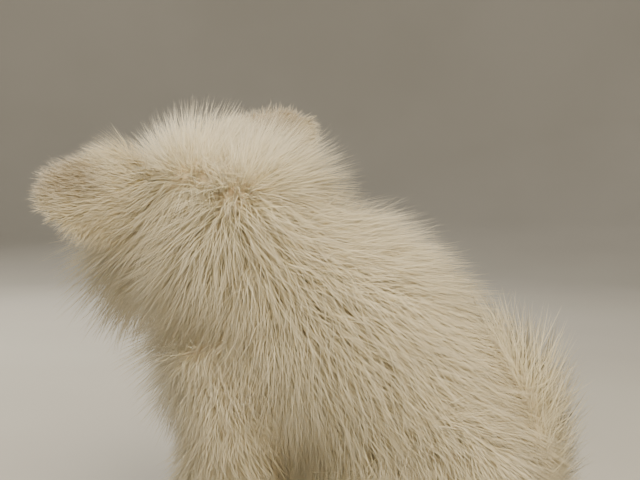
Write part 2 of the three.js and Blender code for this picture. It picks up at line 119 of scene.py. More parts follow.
# Trunk, limbs and tail, as stations of (x, y, z, half width, half depth).
TORSO = (
    (0, 9, 3, 12, 10),
    (0, 1, 14, 25, 22),
    (0, -12, 33, 32, 28),
    (0, -30, 59, 36, 36),
    (0, -50, 83, 37, 40),
    (0, -70, 102, 36, 41),
    (0, -86, 112, 33, 38),
    (0, -98, 118, 24, 28),
)
CHEST = (((0, -100, 95), (30, 26, 34)),)
NECK = (
    ((0, -86, 121), (34, 33, 33)),
    ((-1, -101, 136), (36, 33, 34)),
    ((-3, -113, 143), (32, 27, 27)),
)
TAIL = (
    (0, 3, 34, 7, 6),
    (1, 10, 45, 6.5, 5.5),
    (3, 13, 60, 6.5, 5.5),
    (5, 10, 76, 6, 5),
    (6, 3, 92, 5.5, 4.5),
    (6, -7, 104, 3, 2.5),
)
FORELEGS = {
    "left": (
        (20, -104, 98, 15, 20), (26, -97, 74, 16, 18), (28, -101, 54, 13.5, 15.5),
        (28, -110, 30, 11, 12), (28, -119, 13, 10, 10),
    ),
    "right": (
        (-20, -106, 98, 15, 20), (-26, -99, 74, 16, 18), (-27, -105, 54, 13.5, 15.5),
        (-26, -116, 30, 11, 12), (-25, -125, 13, 10, 10),
    ),
}

# The feet, and each claw from its root to its tip as (forward, up, half width).
PAW_PLACES = {"left": (28, -126), "right": (-25, -133)}
PAW_LENGTH = 20
PAW_HEIGHT = 9.0
PAW_HALF_WIDTH = 11
HIND_PLACE = (36, -58)
HIND_TURN = 8.0
HIND_LENGTH = 46
TOES = 4
TOE_STEP = 5.4
TOE_FORWARD = 12
TOE_RADII = (3.5, 6.4, 5.4)
CLAW_FORWARD, CLAW_UP = 5.5, 3.2
CLAW = ((-1.5, 0.9, 1.0), (0.3, 0.8, 0.95), (1.8, 0.1, 0.7), (2.9, -1.2, 0.2))
CLAW_DEPTH = 1.2

# The skin: how fine it is, and how far each form is shrunk, so that it lies inside the solids.
SKIN_VOXEL = 1.3
TORSO_SHRINK = 5.0
NECK_SHRINK = 5.0
HAUNCH_SHRINK = 3.5
LEG_SHRINK = 2.5
TAIL_SHRINK = 1.5
FOOT_SHRINK = 0.7
# Nothing goes lower than the first, and no tuft's bend or tip lower than the second.
LOWEST = 0.2
LOWEST_TIP = 0.5

# The coat: how many tufts there are, and the share of the long ones that are outer hairs.
TUFT_COUNT = 205000
EAR_TUFTS = 10000
OUTER_SHARE = 0.4
# Fur below this length is short fur.
SHORT_FUR = 8.0
TRIANGLE_LIMIT = 190000
# Shares of the tufts that others lean towards, and how strongly: wide locks, then fine ones.
GATHERING = ((0.004, 0.16), (0.035, 0.06))
# How much a tuft is shaded like the body under it, which keeps a dense coat soft.
SOFTNESS = 0.82
SHORT_SOFTNESS = 0.55
EAR_SOFTNESS = 0.35
# The kinds of coat: name, rings of a tuft, how far it strays and how softly it is shaded.
COAT_KINDS = (
    ("outer_coat", 2, 0.44, SOFTNESS),
    ("under_coat", 1, 0.7, SOFTNESS),
    ("short_fur", 1, 0.3, SHORT_SOFTNESS),
)
# Least share of the full length, and how much more at random, of outer hairs and of the under coat.
OUTER_LENGTHS = (0.85, 0.25)
UNDER_LENGTHS = (0.55, 0.4)
# A tuft: its sides, its rings as (share of its length, share of its width), its shares of the
# length before and after the bend, and how deep its root is.
TUFT_SIDES = 3
TUFT_RINGS = ((0.0, 1.0), (0.5, 0.75))
TUFT_WIDTH, TUFT_THICKNESS = 0.5, 0.3
TUFT_BEFORE_BEND, TUFT_AFTER_BEND = 0.5, 0.55
ROOT_DEPTH = 0.6
# How far a tuft strays upwards and bends aside, for each unit that it strays along the skin.
STRAY_UP, STRAY_BEND = 0.5, 0.35
EAR_TUFT_WIDTH = 0.36
EAR_STRAY = 0.28
# The patch that a tuft has at its root's place on the unwrap.
PATCH_HALF_WIDTH = 0.0012
PATCH_HEIGHT = 0.0026

# Lengths of the head's fur: at the back, on the face, cheeks and muzzle, and beside the lips.
HEAD_FUR = 14.0
FACE_FUR = 3.2
CHEEK_FUR = 31.0
MUZZLE_FUR = 3.0
LIP_FUR = 1.0
# Degrees that it stands off the skin at the root and the tip; the cheeks' are added.
HEAD_RISE, HEAD_FALL = 44, 20
FACE_RISE, FACE_FALL = 24, 9
CHEEK_RISE, CHEEK_FALL = 5, 10
# Degrees that the crown's and the ruff's coat stands up more.
CROWN_RISE, CROWN_FALL = 22, 34
RUFF_RISE, RUFF_FALL = 10, 22
# Shares by which the coat is longer or shorter in places, and by which it lies flatter.
RUFF_LONGER = 0.2
CROWN_TRIM = 0.12
UNDER_EAR_TRIM = 0.7
ELBOW_TRIM = 0.25
RUMP_TRIM, RUMP_RISE_TRIM, RUMP_FALL_TRIM = 0.3, 0.35, 0.5
# The ears' fur: its length, how much longer at the edge and root, how much shorter inside and at
# the tip, and its degrees off the skin.
EAR_FUR = 9.0
EAR_EDGE_FUR = 2.5
EAR_ROOT_FUR = 4.0
EAR_INNER_TRIM = 3.5
EAR_TIP_TRIM = 0.5
EAR_RISE, EAR_FALL = 34, 15


def haunch_forms(side):
    return (((27 * side, -20, 40), (19, 35, 40.5)), ((34 * side, -44, 34), (14, 22, 24)))


def feet_of(name, side):
    """Each foot on one side of the body: place, turn and length."""
    x, y = PAW_PLACES[name]
    hind_x, hind_y = HIND_PLACE
    return ((x, y, 0, PAW_LENGTH), (hind_x * side, hind_y, HIND_TURN * side, HIND_LENGTH))


def unit(v):
    v = np.asarray(v, float)
    return v / np.maximum(np.linalg.norm(v, axis=-1, keepdims=True), 1e-9)


def smooth(x, low, high):
    """0 below low, 1 above high, with a soft step between them."""
    t = np.clip((x - low) / (high - low), 0, 1)
    return t * t * (3 - 2 * t)


def towards(a, b, share):
    return a * (1 - share[:, None]) + b * share[:, None]


def way(*v):
    return np.array([v], float)


def circle(count):
    """Angles of evenly spaced places round a circle."""
    return np.linspace(0, 2 * math.pi, count, endpoint=False)


# The head's own frame: x left, y crown, z nose


def head_matrix():
    turn = (
        Matrix.Rotation(math.radians(-HEAD_YAW), 3, "Z")
        @ Matrix.Rotation(math.radians(-HEAD_PITCH), 3, "X")
        @ Matrix.Rotation(math.radians(HEAD_ROLL), 3, "Y")
    )
    basis = Matrix(((1, 0, 0), (0, 0, -1), (0, 1, 0)))
    return np.array(turn @ basis)


HEAD_AXES = head_matrix()


def in_head(point):
    """A place in the head's frame, in the shared frame."""
    return np.asarray(point, float) @ HEAD_AXES.T + np.array(HEAD_CENTRE)


def head_way(direction):
    """A direction in the head's frame, in the shared frame."""
    return unit(np.asarray(direction, float) @ HEAD_AXES.T)


def to_head(points):
    """Places in the shared frame, in the head's frame."""
    return (np.asarray(points) - np.array(HEAD_CENTRE)) @ HEAD_AXES


# Meshes


def add_object(name, data):
    made = bpy.data.objects.new(name, data)
    bpy.context.scene.collection.objects.link(made)
    return made


def shade_smooth(piece):
    piece.data.polygons.foreach_set("use_smooth", [True] * len(piece.data.polygons))


def new_object(name, points, faces):
    """A smooth mesh object from points in millimetres."""
    mesh = bpy.data.meshes.new(name)
    mesh.from_pydata([tuple(p) for p in np.asarray(points) * MM], [], faces)
    mesh.update()
    made = add_object(name, mesh)
    shade_smooth(made)
    return made


def add_values(piece, name, values):
    """Gives every point of a piece a number that its material reads."""
    values = np.asarray(values, np.float32)
    piece.data.attributes.new(name, "FLOAT", "POINT").data.foreach_set("value", values)


def values_of(items, field, width, kind=np.float32):
    """One field of a mesh's points, corners or triangles, as rows of the given width."""
    values = np.empty(len(items) * width, kind)
    items.foreach_get(field, values)
    return values.reshape(-1, width)


def joined(forms):
    """Points and faces of several forms as one mesh."""
    points, faces, start = [], [], 0
    for form_points, form_faces in forms:
        points.append(form_points)
        faces += [tuple(i + start for i in face) for face in form_faces]
        start += len(form_points)
    return np.vstack(points), faces


def grid_faces(rows, columns):
    """Faces of a tube with open ends."""
    return [
        (r * columns + c, r * columns + (c + 1) % columns,
         (r + 1) * columns + (c + 1) % columns, (r + 1) * columns + c)
        for r in range(rows - 1) for c in range(columns)
    ]


def tube_faces(rows, columns):
    """Faces of a tube with flat ends."""
    ends = [tuple(reversed(range(columns))), tuple(range((rows - 1) * columns, rows * columns))]
    return grid_faces(rows, columns) + ends


def ball_faces(rows, columns):
    """Faces of a ball whose points are its rings and then its two poles."""
    top, bottom = rows * columns, rows * columns + 1
    last = (rows - 1) * columns
    faces = [tuple(reversed(f)) for f in grid_faces(rows, columns)]
    faces += [(top, c, (c + 1) % columns) for c in range(columns)]
    faces += [(bottom, last + (c + 1) % columns, last + c) for c in range(columns)]
    return faces


def ball_ways(polar, columns):
    """Ways out from a ball's middle to its rings and then to its two poles."""
    a, b = np.meshgrid(polar, circle(columns), indexing="ij")
    rings = np.stack([np.sin(a) * np.cos(b), np.sin(a) * np.sin(b), np.cos(a)], -1).reshape(-1, 3)
    return np.vstack([rings, [(0, 0, 1), (0, 0, -1)]])


def ball_mesh(centre, radii, axes=np.eye(3), rows=16, columns=24):
    """Points and faces of a closed ball stretched along three axes, given as columns."""
    polar = np.linspace(0, math.pi, rows)[1:-1]
    points = ball_ways(polar, columns) * np.asarray(radii, float)
    points = points @ np.asarray(axes, float).T + np.asarray(centre, float)
    return points, ball_faces(len(polar), columns)


def curve_through(stations, count):
    """Catmull-Rom points through the stations."""
    s = np.asarray(stations, float)
    s = np.vstack([2 * s[0] - s[1], s, 2 * s[-1] - s[-2]])
    t = np.linspace(0, len(s) - 3, count)
    i = np.minimum(t.astype(int), len(s) - 4)
    u = (t - i)[:, None]
    p0, p1, p2, p3 = s[i], s[i + 1], s[i + 2], s[i + 3]
    return 0.5 * (2 * p1 + (p2 - p0) * u + (2 * p0 - 5 * p1 + 4 * p2 - p3) * u ** 2
                  + (3 * p1 - p0 - 3 * p2 + p3) * u ** 3)


def tube_mesh(stations, shrink=0.0, rows=36, columns=28):
    """Points and faces of a closed oval tube through the stations."""
    path = curve_through(stations, rows)
    along = unit(np.gradient(path[:, :3], axis=0))
    side = unit(np.array([1.0, 0, 0]) - along * along[:, :1])
    depth = np.cross(along, side)
    angle = circle(columns)
    wide = np.maximum(path[:, 3] - shrink, 1)[:, None, None]
    deep = np.maximum(path[:, 4] - shrink, 1)[:, None, None]
    ring = (path[:, None, :3] + side[:, None] * np.cos(angle)[None, :, None] * wide
            + depth[:, None] * np.sin(angle)[None, :, None] * deep)
    return ring.reshape(-1, 3), tube_faces(rows, columns)


def head_mesh(rows=90, columns=120, crowding=1.45, halvings=26):
    """The head as one smooth blend of its balls, found along rays that crowd towards the nose."""
    middle = np.array(HEAD_MIDDLE)
    polar = np.pi * np.linspace(0, 1, rows)[1:-1] ** crowding
    rays = ball_ways(polar, columns)
    near, far = np.zeros(len(rays)), np.full(len(rays), HEAD_OUTSIDE)
    for _ in range(halvings):
        r = (near + far) / 2
        p = middle + rays * r[:, None]
        total = np.zeros(len(rays))
        for centre, radii in HEAD_FORMS:
            q = np.linalg.norm((p - np.array(centre)) / np.array(radii, float), axis=1)
            total += np.exp(-(q - 1) * min(radii) / HEAD_BLEND * 2)
        inside = total > 1
        near, far = np.where(inside, r, near), np.where(inside, far, r)
    return in_head(middle + rays * near[:, None]), ball_faces(len(polar), columns)


def foot_balls(x, y, turn, length):
    """A foot's pad and toes as (centre, radii), the places of its claws, and its axes."""
    a = math.radians(turn)
    axes = np.array([(math.cos(a), -math.sin(a), 0), (math.sin(a), math.cos(a), 0), (0, 0, 1)], float)

    def place(right, forward, up):
        return np.array([x, y, up], float) + axes[:, 0] * right - axes[:, 1] * forward

    pad_radii = (PAW_HALF_WIDTH, length / 2 + 6, PAW_HEIGHT)
    balls = [(place(0, -length / 2 + 8, PAW_HEIGHT - 0.5), pad_radii)]
    claws = []
    for i in range(TOES):
        from_middle = i - (TOES - 1) / 2
        across = from_middle * TOE_STEP
        forward = TOE_FORWARD - abs(from_middle) * 2
        balls.append((place(across, forward, TOE_RADII[2]), TOE_RADII))
        claws.append(place(across * 1.06, forward + CLAW_FORWARD, CLAW_UP))
    return balls, claws, axes


# The skin


def flesh_forms():
    """The closed forms that the skin joins; all but the head are shrunk."""
    forms = [head_mesh()]
    forms += [ball_mesh(c, np.array(r) - NECK_SHRINK) for c, r in NECK]
    forms += [ball_mesh(c, np.array(r) - TORSO_SHRINK) for c, r in CHEST]
    forms.append(tube_mesh(TORSO, TORSO_SHRINK))
    forms.append(tube_mesh(TAIL, TAIL_SHRINK))
    for name, side in SIDES:
        forms += [ball_mesh(c, np.array(r) - HAUNCH_SHRINK) for c, r in haunch_forms(side)]
        forms.append(tube_mesh(FORELEGS[name], LEG_SHRINK))
        for foot in feet_of(name, side):
            balls, _, axes = foot_balls(*foot)
            forms += [ball_mesh(c, np.array(r) - FOOT_SHRINK, axes) for c, r in balls]
    return forms


def eye_axes(side):
    """An eye's axes as columns: outer corner, brow and look."""
    look = head_way((side * EYE_LOOK[0], EYE_LOOK[1], EYE_LOOK[2]))
    brow = head_way(EYE_BROW)
    outer = unit(np.cross(brow, look))
    return np.column_stack([outer, unit(np.cross(look, outer)), look])


def eye_centre(side):
    return in_head((side * EYE_PLACE[0], EYE_PLACE[1], EYE_PLACE[2]))


def apply_modifiers(piece):
    graph = bpy.context.evaluated_depsgraph_get()
    mesh = bpy.data.meshes.new_from_object(piece.evaluated_get(graph))
    old = piece.data
    piece.modifiers.clear()
    piece.data = mesh
    bpy.data.meshes.remove(old)


def cut_from(piece, points, faces):
    cutter = new_object("cutter", points, faces)
    cut = piece.modifiers.new("cut", "BOOLEAN")
    cut.operation = "DIFFERENCE"
    cut.solver = "EXACT"
    cut.object = cutter
    apply_modifiers(piece)
    bpy.data.objects.remove(cutter)


def make_skin():
    """One skin over all the flesh, with the mouth's groove and the openings of the lids."""
    sockets = [ball_mesh(eye_centre(side), [EYE_RADIUS + SOCKET_WALL] * 3, eye_axes(side))
               for _, side in SIDES]
    skin = new_object("skin", *joined(flesh_forms() + sockets))
    remesh = skin.modifiers.new("remesh", "REMESH")
    remesh.mode = "VOXEL"
    remesh.voxel_size = SKIN_VOXEL * MM
    soften = skin.modifiers.new("soften", "SMOOTH")
    soften.factor = 0.5
    soften.iterations = 3
    apply_modifiers(skin)
    places = values_of(skin.data.vertices, "co", 3)
    places[:, 2] = np.maximum(places[:, 2], LOWEST * MM)
    places += mouth_groove(places / MM) * MM
    skin.data.vertices.foreach_set("co", places.ravel())
    for _, side in SIDES:
        axes = eye_axes(side)
        centre = eye_centre(side) + axes[:, 2] * EYE_RADIUS
        cut_from(skin, *ball_mesh(centre, LID_OPENING, axes))
    shade_smooth(skin)
    return skin


def mouth_distance(local):
    """How far points of the head's frame are from the mouth's line, which arches below the nose."""
    near = np.full(len(local), 1e9)
    line = np.array(MOUTH_LINE)
    arch = MOUTH_ARCH * np.exp(-(local[:, 0] / MOUTH_ARCH_WIDTH) ** 2)
    p = np.column_stack([local[:, 2], local[:, 1] - arch])
    for a, b in zip(line[:-1], line[1:]):
        t = np.clip(((p - a) @ (b - a)) / ((b - a) @ (b - a)), 0, 1)
        near = np.minimum(near, np.linalg.norm(p - (a + t[:, None] * (b - a)), axis=1))
    return near


def mouth_groove(points):
    """How points of the skin move inward to make the groove between the lips."""
    local = to_head(points)
    near_mouth = (np.abs(local[:, 0]) < MOUTH_HALF_WIDTH) & (local[:, 2] > 12) & (local[:, 2] < 48)
    depth = MOUTH_DEPTH * np.exp(-(mouth_distance(local) / MOUTH_WIDTH) ** 2) * near_mouth
    inward = np.column_stack([-np.sign(local[:, 0]) * smooth(np.abs(local[:, 0]), 0, 2),
                              np.zeros(len(local)), -smooth(local[:, 2], 33, 38)])
    return (inward * depth[:, None]) @ HEAD_AXES.T


def lip_share(points):
    """1 on the dark edge of the lips and 0 away from it."""
    local = to_head(points)
    near_mouth = (np.abs(local[:, 0]) < MOUTH_HALF_WIDTH) & (local[:, 2] > 14)
    near_mouth &= head_share(points) > 0.3
    return (1 - smooth(mouth_distance(local), 0.4, 1.4)) * near_mouth


def skin_triangles(skin):
    """A skin's places in millimetres, normals and unwrap places, and its triangles' corners."""
    mesh = skin.data
    mesh.calc_loop_triangles()
    return (values_of(mesh.vertices, "co", 3) / MM, values_of(mesh.vertices, "normal", 3),
            values_of(mesh.uv_layers["OFBake"].data, "uv", 2),
            values_of(mesh.loop_triangles, "vertices", 3, np.int32),
            values_of(mesh.loop_triangles, "loops", 3, np.int32))


def unwrap(piece):
    piece.data.uv_layers.new(name="OFBake")
    bpy.context.view_layer.objects.active = piece
    for other in bpy.context.selected_objects:
        other.select_set(False)
    piece.select_set(True)
    bpy.ops.object.mode_set(mode="EDIT")
    bpy.ops.mesh.select_all(action="SELECT")
    bpy.ops.uv.smart_project(angle_limit=math.radians(66), island_margin=0.002)
    bpy.ops.object.mode_set(mode="OBJECT")


# Parts of the body: how close points are to each, 1 on its surface


def tube_closeness(stations, points):
    path = curve_through(stations, 24)
    radius = (path[:, 3] + path[:, 4]) / 2
    near = np.full(len(points), 1e9)
    for place, r in zip(path[:, :3], radius):
        near = np.minimum(near, np.linalg.norm(points - place, axis=1) / r)
    return near


def ball_closeness(forms, points):
    near = [np.linalg.norm((points - np.array(c)) / np.array(r, float), axis=1) for c, r in forms]
    return np.min(near, axis=0)


def torso_closeness(p):
    return np.minimum(tube_closeness(TORSO, p), ball_closeness(CHEST, p))


def leg_closeness(p):
    return np.minimum(tube_closeness(FORELEGS["left"], p), tube_closeness(FORELEGS["right"], p))


def foot_closeness(p):
    near = np.full(len(p), 1e9)
    for name, side in SIDES:
        for foot in feet_of(name, side):
            balls, _, axes = foot_balls(*foot)
            for c, r in balls:
                near = np.minimum(near, np.linalg.norm(((p - c) @ axes) / np.array(r), axis=1))
    return near


# Parts of the body: which way the coat lies on each


def torso_lie(p):
    return towards(way(0, -0.28, -1), way(0, 0.65, -0.76), smooth(p[:, 1], -105, -60))


def neck_lie(p):
    return towards(way(0, -0.3, -1), way(0, 0.72, -0.7), smooth(p[:, 1], -110, -80))


def tail_lie(p):
    return towards(way(0, 0.1, 1), way(0, -0.8, 0.6), smooth(p[:, 2], 74, 98))


def even_lie(*v):
    """A lie that is the same all over a part."""
    return lambda p: way(*v) + 0 * p


def head_lie(p):
    """Back from the nose over the face, down behind the ears, and down and forward on the cheeks."""
    local = to_head(p)
    side = towards(way(0, -0.1, -1), way(0, 0.65, -0.76), smooth(p[:, 1], -118, -96))
    side = towards(side, way(0, 0.9, -0.45), smooth(p[:, 2], 158, 170))
    lips = smooth(-local[:, 1], 3, 8) * smooth(local[:, 2], 14, 22)
    back = towards(head_way((0, 0.2, -1)), head_way((0, -0.8, -1)), lips)
    behind = towards(back, side, smooth(-local[:, 2], -20, -4))
    return towards(behind, way(0, -0.65, -1), cheek_share(local))


# Each part of the body but the head: how close points are, the coat's lie and length, and the
# degrees that it stands off the skin at its root and its tip.
REGIONS = (
    (torso_closeness, torso_lie, 32, 56, 24),
    (partial(ball_closeness, NECK), neck_lie, 30, 46, 20),
    (partial(ball_closeness, haunch_forms(LEFT) + haunch_forms(RIGHT)), even_lie(0, 0.35, -1), 20, 42, 15),
    (leg_closeness, even_lie(0, 0.4, -1), 17, 46, 20),
    (partial(tube_closeness, TAIL), tail_lie, 28, 54, 31),
    (foot_closeness, even_lie(0, -1, -0.5), 4.4, 26, 8),
)
# How sharply one part's coat gives way to the next.
REGION_BLEND = 12.0


# Where the coat differs, as shares from 0 to 1


def head_share(points):
    """1 on the head and 0 well away from it."""
    return 1 - smooth(ball_closeness(HEAD_REACH, to_head(points)), 0.98, 1.2)


def cheek_share(local):
    """1 on the long fur of the cheeks, in the head's frame."""
    side = smooth(np.abs(local[:, 0]), 12, 20)
    return side * (1 - smooth(local[:, 1], 0, 9)) * (1 - smooth(local[:, 2], 10, 19))


def ruff_share(p):
    """1 at the front of the throat and chest, 0 behind it and at the crown."""
    return smooth(-p[:, 1], 98, 118) * (1 - smooth(p[:, 2], 140, 154)) * smooth(p[:, 2], 80, 112)


def rump_share(p):
    """1 low on the rump, 0 in front of it and on the back."""
    return smooth(p[:, 1], -8, 14) * (1 - smooth(p[:, 2], 40, 84))


def elbow_share(p):
    """1 in the fold between foreleg and belly, 0 away from it."""
    return np.exp(-((p[:, 1] + 64) / 10) ** 2) * (1 - smooth(p[:, 2], 78, 98))


def under_ears(points):
    """1 where an ear hangs close over the skin, 0 well away from it."""
    leaf = np.vstack([ear_mesh(name, 20, 16)[0] for name, _ in SIDES])
    tree = KDTree(len(leaf))
    for n, place in enumerate(leaf):
        tree.insert(place, n)
    tree.balance()
    found = [tree.find(p) for p in points]
    distance = np.array([f[2] for f in found])
    above = np.array([f[0].z for f in found]) - points[:, 2]
    return (1 - smooth(distance, 7, 18)) * smooth(above, -1, 5)


def bare_skin(points):
    """True where no fur grows: the eyes' openings, under the nose pad and along the lips."""
    local = to_head(points)
    bare = (mouth_distance(local) < 0.8) & (local[:, 2] > 17)
    bare &= np.abs(local[:, 0]) < MOUTH_HALF_WIDTH - 1
    pad = (local - np.array(NOSE_PLACE)) / (np.array(NOSE_RADII) + 0.4)
    bare |= np.linalg.norm(pad, axis=1) < 1
    for _, side in SIDES:
        seen = (points - eye_centre(side)) @ eye_axes(side)
        inside = np.hypot(seen[:, 0] / (LID_OPENING[0] + 0.9), seen[:, 1] / (LID_OPENING[1] + 0.9)) < 1
        bare |= inside & (seen[:, 2] > 0)
    return bare


def coat_density(points):
    """How close tufts stand: closest on the face, then on the feet, and even elsewhere."""
    local = to_head(points)
    face = head_share(points) * smooth(local[:, 2], 4, 22)
    feet = 1 - smooth(points[:, 2], 14, 24)
    return 1 + 3.5 * face + 0.8 * feet * (points[:, 2] > 1.0)


def coat_tint_and_shade(points):
    """How far the coat goes from cream to tan: over the shoulders and on the muzzle, with painted shade
    under the ears.
    """
    local = to_head(points)
    muzzle = head_share(points) * smooth(local[:, 2], 16, 30)
    back = smooth(points[:, 2], 120, 150) * smooth(points[:, 1], -110, -80)
    # Under the ears the darkening is painted shade, where the ear hangs over the cheek.
    return np.clip(0.16 * muzzle + 0.06 * back + 0.4 * under_ears(points), 0, 1)


def face_length(local):
    """The length of the head's fur: short on the muzzle and brow, long on the cheeks and crown."""
    front = smooth(local[:, 2], -2, 20)
    plain = HEAD_FUR * (1 - front) + FACE_FUR * front
    cheek = cheek_share(local)
    chin = smooth(local[:, 2], 6, 18) * (1 - smooth(local[:, 1], -12, -6)) * (1 - cheek)
    muzzle = np.maximum(smooth(local[:, 2], 18, 28), chin)
    from_lips = smooth(mouth_distance(local), 1.5, 4.5)
    short = LIP_FUR + (MUZZLE_FUR - LIP_FUR) * from_lips
    return (plain * (1 - cheek) + CHEEK_FUR * cheek) * (1 - muzzle) + short * muzzle


def coat_at(points, normals):
    """Lie, length and standing angles of the coat at places on the skin."""
    closeness = np.array([region[0](points) for region in REGIONS])
    weight = np.exp(-(closeness - closeness.min(0)) * REGION_BLEND)
    weight /= weight.sum(0)
    lie = sum(w[:, None] * unit(region[1](points)) for w, region in zip(weight, REGIONS))
    length, rise, fall = (sum(w * region[i] for w, region in zip(weight, REGIONS)) for i in (2, 3, 4))
    head = head_share(points)
    local = to_head(points)
    face = smooth(local[:, 2], 8, 26)
    cheek = cheek_share(local)
    lie = towards(lie, unit(head_lie(points)), head)
    length = length * (1 - head) + face_length(local) * head
    rise = rise * (1 - head) + (HEAD_RISE * (1 - face) + FACE_RISE * face + CHEEK_RISE * cheek) * head
    fall = fall * (1 - head) + (HEAD_FALL * (1 - face) + FACE_FALL * face + CHEEK_FALL * cheek) * head
    length = length * (1 - UNDER_EAR_TRIM * under_ears(points))
    crown = smooth(points[:, 2], 146, 162) * (1 - face * head) * smooth(normals[:, 2], 0.4, 0.9)
    length = length * (1 - CROWN_TRIM * crown * (1 - head))
    rise = rise + CROWN_RISE * crown
    fall = fall + CROWN_FALL * crown
    front = ruff_share(points) * (1 - face * head)
    length = length * (1 + RUFF_LONGER * front)
    rise = rise + RUFF_RISE * front
    fall = fall + RUFF_FALL * front
    rump = rump_share(points)
    length = length * (1 - RUMP_TRIM * rump)
    rise = rise * (1 - RUMP_RISE_TRIM * rump)
    fall = fall * (1 - RUMP_FALL_TRIM * rump)
    length = length * (1 - ELBOW_TRIM * elbow_share(points))
    return along_skin(lie, normals), length, np.radians(rise), np.radians(fall)


# Tufts


def along_skin(lie, normals):
    """Directions laid flat along the skin."""
    return unit(lie - normals * np.sum(lie * normals, axis=1, keepdims=True))


def spread_roots(skin, random, count, density):
    """Seeded places on the skin, more of them where density is high: place, normal, unwrap place."""
    places, normals, uv, corners, loops = skin_triangles(skin)
    a, b, c = (places[corners[:, k]] for k in range(3))
    area = np.linalg.norm(np.cross(b - a, c - a), axis=1) / 2
    share = area * density((a + b + c) / 3)
    picked = random.choice(len(area), count, p=share / share.sum())
    u, v = random.random(count), random.random(count)
    over = u + v > 1
    u, v = np.where(over, 1 - u, u), np.where(over, 1 - v, v)
    weights = np.stack([1 - u - v, u, v], -1)[:, :, None]
    return ((places[corners[picked]] * weights).sum(1), unit((normals[corners[picked]] * weights).sum(1)),
            (uv[loops[picked]] * weights).sum(1))


def gathered(roots, middle, tip, random, share, strength):
    """Draws tufts towards the nearest of a few of them, as a coat gathers in locks."""
    leaders = random.choice(len(roots), max(int(len(roots) * share), 1), replace=False)
    tree = KDTree(len(leaders))
    for n, i in enumerate(leaders):
        tree.insert(roots[i], n)
    tree.balance()
    nearest = np.array([leaders[tree.find(p)[1]] for p in roots])
    change = tip[nearest] - tip
    return middle + change * strength * 0.3, tip + change * strength


def tuft_paths(hair, random, stray):
    """Root, bend and tip of each tuft, which strays a little from the coat's lie."""
    roots, normals = hair["root"], hair["normal"]
    count = len(roots)
    across = unit(np.cross(hair["lie"], normals))
    lie = unit(hair["lie"] + across * random.normal(0, stray, count)[:, None])
    up = random.normal(0, stray * STRAY_UP, count)
    rise, fall = hair["rise"] + up, hair["fall"] + up
    out = lie * np.cos(rise)[:, None] + normals * np.sin(rise)[:, None]
    on = lie * np.cos(fall)[:, None] + normals * np.sin(fall)[:, None]
    start = roots - normals * ROOT_DEPTH
    wave = across * random.normal(0, stray * STRAY_BEND, count)[:, None]
    middle = start + (out + wave) * (hair["length"] * TUFT_BEFORE_BEND)[:, None]
    tip = middle + (on - wave * 0.6) * (hair["length"] * TUFT_AFTER_BEND)[:, None]
    for share, strength in GATHERING:
        middle, tip = gathered(roots, middle, tip, random, share, strength)
    for point in (middle, tip):
        point[:, 2] = np.maximum(point[:, 2], LOWEST_TIP)
    return start, middle, tip


def tuft_points(start, middle, tip, normals, width, rings, softness):
    """Each tuft's rings and tip, and the way that each of its points is shaded."""
    across = unit(np.cross(tip - start, normals))
    thick = unit(np.cross(tip - start, across))
    points, facing = [], []
    for s, full in rings:
        centre = start * (1 - s) ** 2 + middle * 2 * s * (1 - s) + tip * s * s
        for angle in circle(TUFT_SIDES):
            aside = across * math.cos(angle) * TUFT_WIDTH + thick * math.sin(angle) * TUFT_THICKNESS
            points.append(centre + aside * (width * full)[:, None])
            facing.append(unit(aside) * (1 - softness) + normals * softness)
    points = np.stack(points + [tip], 1)
    points[:, :, 2] = np.maximum(points[:, :, 2], LOWEST)
    return points, unit(np.stack(facing + [normals], 1))


def tuft_pattern(rings):
    """The triangles of one tuft: its root, its sides and its tip."""
    pattern = [(2, 1, 0)]
    for start in range(0, (rings - 1) * TUFT_SIDES, TUFT_SIDES):
        for k in range(TUFT_SIDES):
            a, b = start + k, start + (k + 1) % TUFT_SIDES
            pattern += [(a, b, b + TUFT_SIDES), (a, b + TUFT_SIDES, a + TUFT_SIDES)]
    last = (rings - 1) * TUFT_SIDES
    tip = rings * TUFT_SIDES
    pattern += [(last + k, last + (k + 1) % TUFT_SIDES, tip) for k in range(TUFT_SIDES)]
    return np.array(pattern)


def tuft_patch(heights):
    """Where one tuft's points lie in its patch of the unwrap."""
    aside = np.array([k % TUFT_SIDES for k in range(len(heights) - 1)] + [1]) - 1.0
    return np.stack([aside * PATCH_HALF_WIDTH, (heights - 0.5) * PATCH_HEIGHT], -1)


def tufts(name, hair, random, width, ring_count, stray, softness):
    """Builds tapered three-sided tufts as meshes of under 200,000 triangles, in pieces."""
    count = len(hair["root"])
    vary = random.random(count)
    start, middle, tip = tuft_paths(hair, random, stray)
    width = width * (0.75 + 0.5 * random.random(count))
    rings = TUFT_RINGS[:ring_count]
    points, facing = tuft_points(start, middle, tip, hair["normal"], width, rings, softness)
    heights = np.append(np.repeat([s for s, _ in rings], TUFT_SIDES), 1.0)
    pattern = tuft_pattern(ring_count)
    order = np.argsort(hair["root"][:, 1], kind="stable")
    chunks = np.array_split(order, math.ceil(count / (TRIANGLE_LIMIT // len(pattern))))
    return [
        tuft_piece(f"{name}_{n}", points[chunk], facing[chunk], pattern, hair["uv"][chunk], heights,
                   vary[chunk], hair["tint_and_shade"][chunk])
        for n, chunk in enumerate(chunks)
    ]


